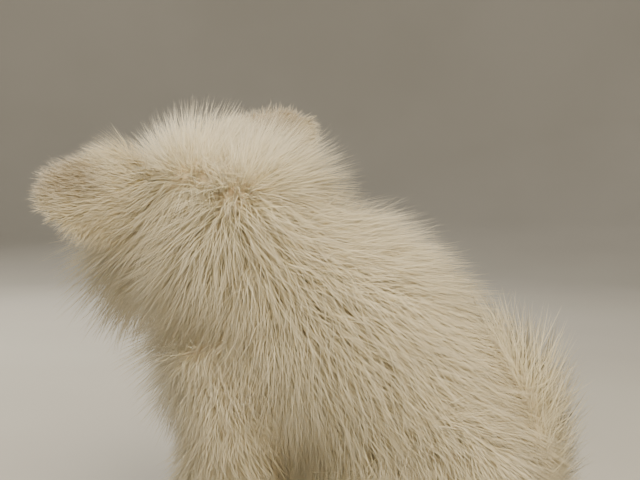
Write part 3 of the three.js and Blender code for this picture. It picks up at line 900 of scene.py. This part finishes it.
def tuft_piece(name, points, facing, pattern, uv, heights, vary, tint_and_shade):
    """One mesh of tufts, whose points carry their height, their tuft's own number and its tan, which is
    painted shade under the ears.
    """
    count, per = points.shape[:2]
    faces = (pattern[None] + (np.arange(count) * per)[:, None, None]).reshape(-1, 3)
    mesh = bpy.data.meshes.new(name)
    mesh.vertices.add(count * per)
    mesh.vertices.foreach_set("co", (points * MM).astype(np.float32).ravel())
    mesh.loops.add(faces.size)
    mesh.loops.foreach_set("vertex_index", faces.astype(np.int32).ravel())
    mesh.polygons.add(len(faces))
    mesh.polygons.foreach_set("loop_start", np.arange(0, faces.size, 3, dtype=np.int32))
    mesh.update(calc_edges=True)
    places = (uv[:, None] + tuft_patch(heights)[None]).reshape(-1, 2)
    layer = mesh.uv_layers.new(name="OFBake")
    layer.data.foreach_set("uv", places[faces.ravel()].astype(np.float32).ravel())
    tones = np.ones((count, per, 4), np.float32)
    tones[:, :, 0] = heights[None]
    tones[:, :, 1] = vary[:, None]
    tones[:, :, 2] = tint_and_shade[:, None]
    mesh.color_attributes.new("tone", "FLOAT_COLOR", "POINT").data.foreach_set("color", tones.ravel())
    made = add_object(name, mesh)
    shade_smooth(made)
    mesh.normals_split_custom_set_from_vertices(facing.reshape(-1, 3))
    return made


def make_coat(skin, random):
    """The body's coat: outer hairs, under coat and short fur."""
    roots, normals, uv = spread_roots(skin, random, TUFT_COUNT, coat_density)
    keep = ~bare_skin(roots) & (roots[:, 2] > 0.8)
    roots, normals, uv = roots[keep], normals[keep], uv[keep]
    lie, length, rise, fall = coat_at(roots, normals)
    short = length < SHORT_FUR
    outer = random.random(len(roots)) < OUTER_SHARE
    share = random.random(len(roots))
    long_share, under_share = (least + more * share for least, more in (OUTER_LENGTHS, UNDER_LENGTHS))
    length = length * np.where(outer | short, long_share, under_share)
    hair = {"root": roots, "normal": normals, "uv": uv, "lie": lie, "length": length,
            "rise": rise, "fall": fall, "tint_and_shade": coat_tint_and_shade(roots)}
    made = []
    chosen_of_kinds = (outer & ~short, ~outer & ~short, short)
    for (name, ring_count, stray, softness), chosen in zip(COAT_KINDS, chosen_of_kinds):
        some = {key: values[chosen] for key, values in hair.items()}
        width = np.clip(0.24 + some["length"] * 0.005, 0.26, 0.4)
        made += tufts(name, some, random, width, ring_count, stray, softness)
    return made


# The ears


def ear_frame(name):
    """An ear's root and the ways along it, out of its cup and across it."""
    side = dict(SIDES)[name]
    along, facing = (head_way(v) for v in EAR_WAYS[name])
    opening = unit(facing - along * (facing @ along))
    root = in_head((side * EAR_ROOT[0], EAR_ROOT[1], EAR_ROOT[2]))
    return root, along, opening, np.cross(opening, along)


def ear_half_width(s):
    """Half the ear's width at a share of its length: full at the root and rounded at the tip."""
    return EAR_HALF_WIDTH * EAR_SKIN * (1 - 0.18 * s) * np.sqrt(np.maximum(1 - s ** 2.4, 0))


def ear_mesh(name, rows=60, columns=72):
    """A thin cupped leaf that tapers to its edges."""
    root, along, opening, wide = ear_frame(name)
    s = np.linspace(0, 1, rows) ** 0.8 * 0.999
    s, angle = np.meshgrid(s, circle(columns), indexing="ij")
    bend = np.cos(angle) * ear_half_width(s) / EAR_CUP_RADIUS
    above = EAR_THICKNESS * (1 - 0.45 * s) * np.sin(angle)
    lift = EAR_CUP_RADIUS * (1 - np.cos(bend)) + above * np.cos(bend) + EAR_DROOP * s * s - EAR_SINK
    points = (root + along * (EAR_LENGTH * (0.1 + 0.84 * s))[..., None]
              + wide * ((EAR_CUP_RADIUS - above) * np.sin(bend))[..., None] + opening * lift[..., None])
    return points.reshape(-1, 3), tube_faces(rows, columns)


def ear_hair(name, ear, random):
    """The ear's fur: longest at the edge and root, shortest inside, with a tan patch on the back."""
    root, along, opening, wide = ear_frame(name)
    roots, normals, uv = spread_roots(ear, random, EAR_TUFTS, lambda p: np.ones(len(p)))
    across = (roots - root) @ wide
    s = np.clip((roots - root) @ along / EAR_LENGTH, 0, 1)
    spread = np.clip(across / np.maximum(ear_half_width(s), 3), -1, 1)
    edge = smooth(np.abs(spread), 0.62, 0.95)
    tip = smooth(s, 0.7, 0.92)
    inner = smooth(normals @ opening, 0.1, 0.5)
    lie = along * (1 - 0.45 * edge)[:, None] + wide * (spread * (0.35 + 0.75 * edge))[:, None]
    length = EAR_FUR + EAR_EDGE_FUR * edge * (1 - tip) + EAR_ROOT_FUR * (1 - smooth(s, 0.1, 0.55))
    length = length - EAR_INNER_TRIM * inner - EAR_TIP_TRIM * tip
    patch = smooth(s, 0.28, 0.5) * (1 - smooth(s, 0.85, 1.0)) * (1 - inner)
    patch = patch * smooth(across * dict(SIDES)[name], -7, 4)
    return {"root": roots, "normal": normals, "uv": uv, "lie": along_skin(lie, normals),
            "length": length * (0.75 + 0.5 * random.random(len(roots))),
            "rise": np.radians(EAR_RISE - 6 * inner), "fall": np.radians(EAR_FALL - 3 * inner),
            "tint_and_shade": np.clip(0.03 + 0.75 * patch, 0, 1)}


def make_ear(name, random):
    ear = new_object(f"ear_{name}_skin", *ear_mesh(name))
    unwrap(ear)
    hair = ear_hair(name, ear, random)
    fur = tufts(f"ear_{name}_fur", hair, random, EAR_TUFT_WIDTH, 2, EAR_STRAY, EAR_SOFTNESS)
    return ear, fur


# Eyes, nose and claws


def make_eye(name, side):
    """A wet dark eye: the clear front bulges a little over the iris."""
    axes = eye_axes(side)
    points, faces = ball_mesh((0, 0, 0), [EYE_RADIUS] * 3, rows=48, columns=64)
    ahead = points[:, 2] / EYE_RADIUS
    points *= (1 + EYE_BULGE * smooth(ahead, 0.72, 0.95))[:, None]
    eye = new_object(f"eye_{name}_ball", points @ axes.T + eye_centre(side), faces)
    add_values(eye, "ring", np.degrees(np.arccos(np.clip(ahead, -1, 1))) / 90)
    return eye


def make_lid(name, side):
    """The dark rim round the almond opening, where the lids meet the eye."""
    axes = eye_axes(side)
    turn = circle(72)
    x = LID_OPENING[0] * np.cos(turn)
    y = (LID_OPENING[1] - 0.3) * np.sin(turn) * (1 - 0.16 * np.cos(turn) ** 2)
    radius = EYE_RADIUS + LID_HEIGHT
    line = np.column_stack([x, y, np.sqrt(radius ** 2 - x ** 2 - y ** 2)])
    out = unit(line)
    ahead = unit(np.roll(line, -1, axis=0) - np.roll(line, 1, axis=0))
    aside = np.cross(ahead, out)
    angle = circle(14)
    ring = (line[:, None] + out[:, None] * np.cos(angle)[None, :, None] * LID_RING[0]
            + aside[:, None] * np.sin(angle)[None, :, None] * LID_RING[1])
    count = len(angle)
    last = (len(line) - 1) * count
    faces = grid_faces(len(line), count)
    faces += [(last + c, last + (c + 1) % count, (c + 1) % count, c) for c in range(count)]
    return new_object(f"lid_{name}", ring.reshape(-1, 3) @ axes.T + eye_centre(side), faces)


def hollow(x, y, depth, aside, up, half_width, half_height, slope):
    """How deep a soft hollow is at places on the nose pad."""
    off_middle = y - up + slope * (x - aside)
    return depth * np.exp(-((x - aside) / half_width) ** 2 - (off_middle / half_height) ** 2)


def make_nose():
    """The nose pad, with comma-shaped nostrils and the groove down its middle."""
    points, faces = ball_mesh((0, 0, 0), (1, 1, 1), rows=70, columns=110)
    local = points * np.array(NOSE_RADII)
    x, y = local[:, 0], local[:, 1]
    ahead = smooth(points[:, 2], -0.1, 0.4)
    depth = NOSE_GROOVE_DEPTH * np.exp(-(x / NOSE_GROOVE_WIDTH) ** 2) * smooth(-y, -1.5, 1.0) * ahead
    for _, side in SIDES:
        depth += np.maximum(hollow(x * side, y, *NOSTRIL_HOLE), hollow(x * side, y, *NOSTRIL_SLIT)) * ahead
    local = local - unit(local) * depth[:, None]
    return new_object("nose_pad", in_head(local + np.array(NOSE_PLACE)), faces)


def make_claws(name, side):
    """All the claws on one side of the body."""
    forms = []
    for foot in feet_of(name, side):
        _, places, axes = foot_balls(*foot)
        forward = -axes[:, 1]
        for place in places:
            stations = [(*(place + forward * f + np.array([0, 0, u])), w, w * CLAW_DEPTH)
                        for f, u, w in CLAW]
            forms.append(tube_mesh(stations, 0, 12, 12))
    return new_object(f"claws_{name}", *joined(forms))


# Materials

CREAM_TIP = (0.89, 0.75, 0.46)
CREAM_PALE = (0.92, 0.80, 0.53)
# The root colours are darker, partly the hair's own tone and partly painted shade deep in the coat.
CREAM_AND_SHADE_ROOT = (0.84, 0.69, 0.41)
# The tan colours; under the ears they stand for painted shade.
TAN_AND_SHADE_TIP = (0.36, 0.26, 0.16)
TAN_AND_SHADE_ROOT = (0.30, 0.21, 0.13)
LIP = (0.03, 0.022, 0.02)
PUPIL = (0.003, 0.003, 0.003)
IRIS_DARK = (0.030, 0.012, 0.006)
IRIS_LIGHT = (0.075, 0.032, 0.014)
IRIS_RIM = (0.008, 0.005, 0.004)
EYE_WHITE = (0.42, 0.34, 0.30)
FLOOR_DARK = (0.52, 0.51, 0.49)
FLOOR_LIGHT = (0.56, 0.55, 0.53)
# Bare skins: how much light enters and how far, patches and pores to a metre, two colours.
BARE_SKINS = {
    "skin": (0.1, (0.004, 0.002, 0.001), 90.0, 900.0, (0.74, 0.60, 0.42), (0.82, 0.68, 0.49)),
    "ear_skin": (0.15, (0.005, 0.002, 0.001), 120.0, 700.0, (0.76, 0.58, 0.45), (0.82, 0.66, 0.51)),
}
# Dark bare parts: two colours, the pebbles' fineness and depth, roughness and wetness.
LEATHERS = {
    "rim_leather": ((0.012, 0.009, 0.008), (0.035, 0.026, 0.022), 2600.0, 0.4, 0.4, 0.3),
    "claw_horn": ((0.09, 0.07, 0.055), (0.2, 0.16, 0.12), 900.0, 0.15, 0.35, 0.3),
    "nose_leather": ((0.010, 0.008, 0.008), (0.03, 0.024, 0.022), 1500.0, 0.5, 0.34, 0.5),
}
# The mix node's sockets for colours.
MIX_SHARE, MIX_A, MIX_B, MIX_RESULT = 0, 6, 7, 2


def new_material(name, roughness, **values):
    """A material, whose other values are named as on the shader with _ for a space."""
    material = bpy.data.materials.new(name)
    material.use_nodes = True
    shader = material.node_tree.nodes["Principled BSDF"]
    shader.inputs["Roughness"].default_value = roughness
    for key, value in values.items():
        shader.inputs[key.replace("_", " ")].default_value = value
    return material, material.node_tree, shader


def node(tree, kind, **values):
    made = tree.nodes.new(kind)
    for key, value in values.items():
        setattr(made, key, value)
    return made


def mixed(tree, share, a, b):
    """A colour between a and b, each a socket or a colour, by a share that is a socket or a number."""
    mix = node(tree, "ShaderNodeMix", data_type="RGBA")
    for index, value in ((MIX_SHARE, share), (MIX_A, a), (MIX_B, b)):
        if isinstance(value, bpy.types.NodeSocket):
            tree.links.new(value, mix.inputs[index])
        elif index == MIX_SHARE:
            mix.inputs[index].default_value = value
        else:
            mix.inputs[index].default_value = (*value, 1)
    return mix.outputs[MIX_RESULT]


def ranged(tree, value, low, high, out_low=0.0, out_high=1.0):
    made = node(tree, "ShaderNodeMapRange", interpolation_type="SMOOTHSTEP")
    tree.links.new(value, made.inputs["Value"])
    for key, number in (("From Min", low), ("From Max", high), ("To Min", out_low), ("To Max", out_high)):
        made.inputs[key].default_value = number
    return made.outputs["Result"]


def on_object(tree, kind, scale):
    """A texture that stays with the object, whose scale is per metre."""
    made = node(tree, kind)
    made.inputs["Scale"].default_value = scale
    place = node(tree, "ShaderNodeTexCoord")
    tree.links.new(place.outputs["Object"], made.inputs["Vector"])
    return made


def noise(tree, scale):
    made = on_object(tree, "ShaderNodeTexNoise", scale)
    made.inputs["Detail"].default_value = 3.0
    return made.outputs["Fac"]


def mottled(tree, scale, a, b):
    """A colour that goes between a and b in soft patches."""
    return mixed(tree, ranged(tree, noise(tree, scale), 0.3, 0.7), a, b)


def bumped(tree, shader, height, strength, distance):
    bump = node(tree, "ShaderNodeBump")
    bump.inputs["Strength"].default_value = strength
    bump.inputs["Distance"].default_value = distance
    tree.links.new(height, bump.inputs["Height"])
    tree.links.new(bump.outputs["Normal"], shader.inputs["Normal"])


def coat_material(name):
    """Cream hair: darker at the root, partly its own tone and partly painted shade deep in the coat, paler
    at the tip, with tufts that differ and soft large patches; the tan under the ears is painted shade.
    """
    material, tree, shader = new_material(name, 0.8, Specular_IOR_Level=0.15, Subsurface_Weight=0.6,
                                          Subsurface_Scale=0.001, Subsurface_Radius=(1.6, 1.3, 0.9))
    tone = node(tree, "ShaderNodeAttribute", attribute_name="tone")
    parts = node(tree, "ShaderNodeSeparateColor")
    tree.links.new(tone.outputs["Color"], parts.inputs["Color"])
    height, vary, tint_and_shade = parts.outputs
    tip = mixed(tree, vary, CREAM_TIP, CREAM_PALE)
    tip = mixed(tree, ranged(tree, noise(tree, 26.0), 0.35, 0.7, 0.0, 0.4), tip, CREAM_TIP)
    # Towards tan: the coat's own colour on the muzzle and shoulders, painted shade under the ears.
    tip = mixed(tree, tint_and_shade, tip, TAN_AND_SHADE_TIP)
    root = mixed(tree, tint_and_shade, CREAM_AND_SHADE_ROOT, TAN_AND_SHADE_ROOT)
    # Darker towards the root: partly the hair's own tone, partly painted shade deep in the coat.
    colour = mixed(tree, ranged(tree, height, 0.0, 0.8), root, tip)
    tree.links.new(colour, shader.inputs["Base Color"])
    return material


def bare_material(name, has_lips):
    """Skin under the coat: warm cream in soft patches, finely pored, dark at the lips."""
    glow, reach, patches, pores, deep, pale = BARE_SKINS[name]
    material, tree, shader = new_material(name, 0.6, Subsurface_Weight=glow, Subsurface_Radius=reach)
    colour = mottled(tree, patches, deep, pale)
    if has_lips:
        lip = node(tree, "ShaderNodeAttribute", attribute_name="lip")
        colour = mixed(tree, lip.outputs["Fac"], colour, LIP)
    tree.links.new(colour, shader.inputs["Base Color"])
    bumped(tree, shader, noise(tree, pores), 0.3, 0.0003)
    return material


def eye_material():
    """A black pupil in a dark brown iris with fine rays, under a wet front."""
    material, tree, shader = new_material("eye", 0.12, Coat_Weight=1.0, Coat_Roughness=0.02)
    ring = node(tree, "ShaderNodeAttribute", attribute_name="ring").outputs["Fac"]
    rays = mixed(tree, noise(tree, 2600.0), IRIS_DARK, IRIS_LIGHT)
    colour = mixed(tree, ranged(tree, ring, 0.26, 0.30), PUPIL, rays)
    colour = mixed(tree, ranged(tree, ring, 0.52, 0.60), colour, IRIS_RIM)
    colour = mixed(tree, ranged(tree, ring, 0.68, 0.78), colour, EYE_WHITE)
    tree.links.new(colour, shader.inputs["Base Color"])
    return material


def leather_material(name):
    """Bare dark skin or horn, pebbled, with a little moisture."""
    dark, light, fineness, depth, roughness, wetness = LEATHERS[name]
    material, tree, shader = new_material(name, roughness, Coat_Weight=wetness, Coat_Roughness=0.25)
    pebbles = on_object(tree, "ShaderNodeTexVoronoi", fineness)
    tree.links.new(mottled(tree, fineness * 0.4, dark, light), shader.inputs["Base Color"])
    bumped(tree, shader, pebbles.outputs["Distance"], depth, 0.0004)
    return material


# Putting the model together


def place_piece(piece, slot, material, *nodes):
    piece.data.materials.clear()
    piece.data.materials.append(material)
    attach(piece, "root")
    if nodes:
        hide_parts(*nodes)


def flesh_nodes():
    nodes = ["head", "lower_jaw", "neck", "torso", "tail"]
    for name, _ in SIDES:
        nodes += [f"foreleg_{name}", f"forepaw_{name}", f"hind_leg_{name}", f"hind_foot_{name}"]
    return nodes


def make_dog():
    random = np.random.default_rng(SEED)
    fur = coat_material("cream_coat")
    rim = leather_material("rim_leather")
    skin = make_skin()
    unwrap(skin)
    add_values(skin, "lip", lip_share(skin_triangles(skin)[0]))
    place_piece(skin, "coat", bare_material("skin", True), *flesh_nodes())
    for piece in make_coat(skin, random):
        place_piece(piece, "coat", fur)
    ear_finish = bare_material("ear_skin", False)
    eye_finish = eye_material()
    horn = leather_material("claw_horn")
    for name, side in SIDES:
        ear, ear_fur = make_ear(name, random)
        place_piece(ear, "ear", ear_finish, f"ear_{name}")
        for piece in ear_fur:
            place_piece(piece, "ear", fur)
        place_piece(make_eye(name, side), "eye", eye_finish, f"eye_{name}")
        place_piece(make_lid(name, side), "nose", rim)
        place_piece(make_claws(name, side), "nose", horn)
    place_piece(make_nose(), "nose", leather_material("nose_leather"), "nose")


# Floor, light and camera

# The stage's profile from its middle outwards, in metres.
STAGE_RADII = (0.001, 0.5, 1.2, 1.6, 1.85, 2.0, 2.0)
STAGE_HEIGHTS = (0.0, 0.0, 0.0, 0.06, 0.25, 0.7, 2.4)
STAGE_SIDES = 96
# How far the floor lies below the feet, so that the two don't flicker.
STAGE_GAP = 0.0002
# Each light: name, azimuth, elevation, distance, size, watts and colour.
LIGHTS = (
    ("key", 118, 40, 1.0, 0.6, 15.0, (1.0, 0.86, 0.60)),
    ("fill", 45, 40, 1.3, 1.0, 4.5, (1.0, 0.92, 0.76)),
    ("back", 318, 34, 1.1, 0.6, 9.0, (1.0, 0.92, 0.76)),
)
STUDIO_COLOUR = (0.92, 0.9, 0.87, 1)
STUDIO_STRENGTH = 0.3


def place_round(thing, azimuth, elevation, distance):
    """Aims a lamp or the camera at the view's target: azimuth 0 is in front, 90 on the left side."""
    a, e = math.radians(azimuth), math.radians(elevation)
    way_out = Vector((math.sin(a) * math.cos(e), -math.cos(a) * math.cos(e), math.sin(e)))
    target = Vector(np.array(VIEW_TARGET) * MM)
    thing.location = target + way_out * distance
    thing.rotation_euler = (target - thing.location).to_track_quat("-Z", "Y").to_euler()


def make_stage():
    """A pale floor that curves up into a wall on every side."""
    turn = circle(STAGE_SIDES)
    rings = [np.column_stack([r * np.cos(turn), r * np.sin(turn), np.full(STAGE_SIDES, z)])
             for r, z in zip(STAGE_RADII, STAGE_HEIGHTS)]
    faces = grid_faces(len(rings), STAGE_SIDES) + [tuple(reversed(range(STAGE_SIDES)))]
    floor = new_object("floor", np.vstack(rings) / MM, faces)
    floor.location.z = -STAGE_GAP
    material, tree, shader = new_material("pale_floor", 0.85)
    tree.links.new(mottled(tree, 3.0, FLOOR_DARK, FLOOR_LIGHT), shader.inputs["Base Color"])
    floor.data.materials.append(material)


def add_light(name, azimuth, elevation, distance, size, power, colour):
    lamp = bpy.data.lights.new(name, "AREA")
    lamp.size = size
    lamp.energy = power
    lamp.color = colour
    place_round(add_object(name, lamp), azimuth, elevation, distance)


def make_light():
    for light in LIGHTS:
        add_light(*light)
    world = bpy.data.worlds.new("studio")
    world.use_nodes = True
    background = world.node_tree.nodes["Background"]
    background.inputs["Color"].default_value = STUDIO_COLOUR
    background.inputs["Strength"].default_value = STUDIO_STRENGTH
    bpy.context.scene.world = world


def make_camera():
    lens = bpy.data.cameras.new("camera")
    lens.lens = LENS
    lens.sensor_width = SENSOR
    lens.clip_start = 0.01
    camera = add_object("camera", lens)
    place_round(camera, VIEW_AZIMUTH, VIEW_ELEVATION, VIEW_DISTANCE * MM)
    bpy.context.scene.camera = camera


make_dog()
make_stage()
make_light()
make_camera()
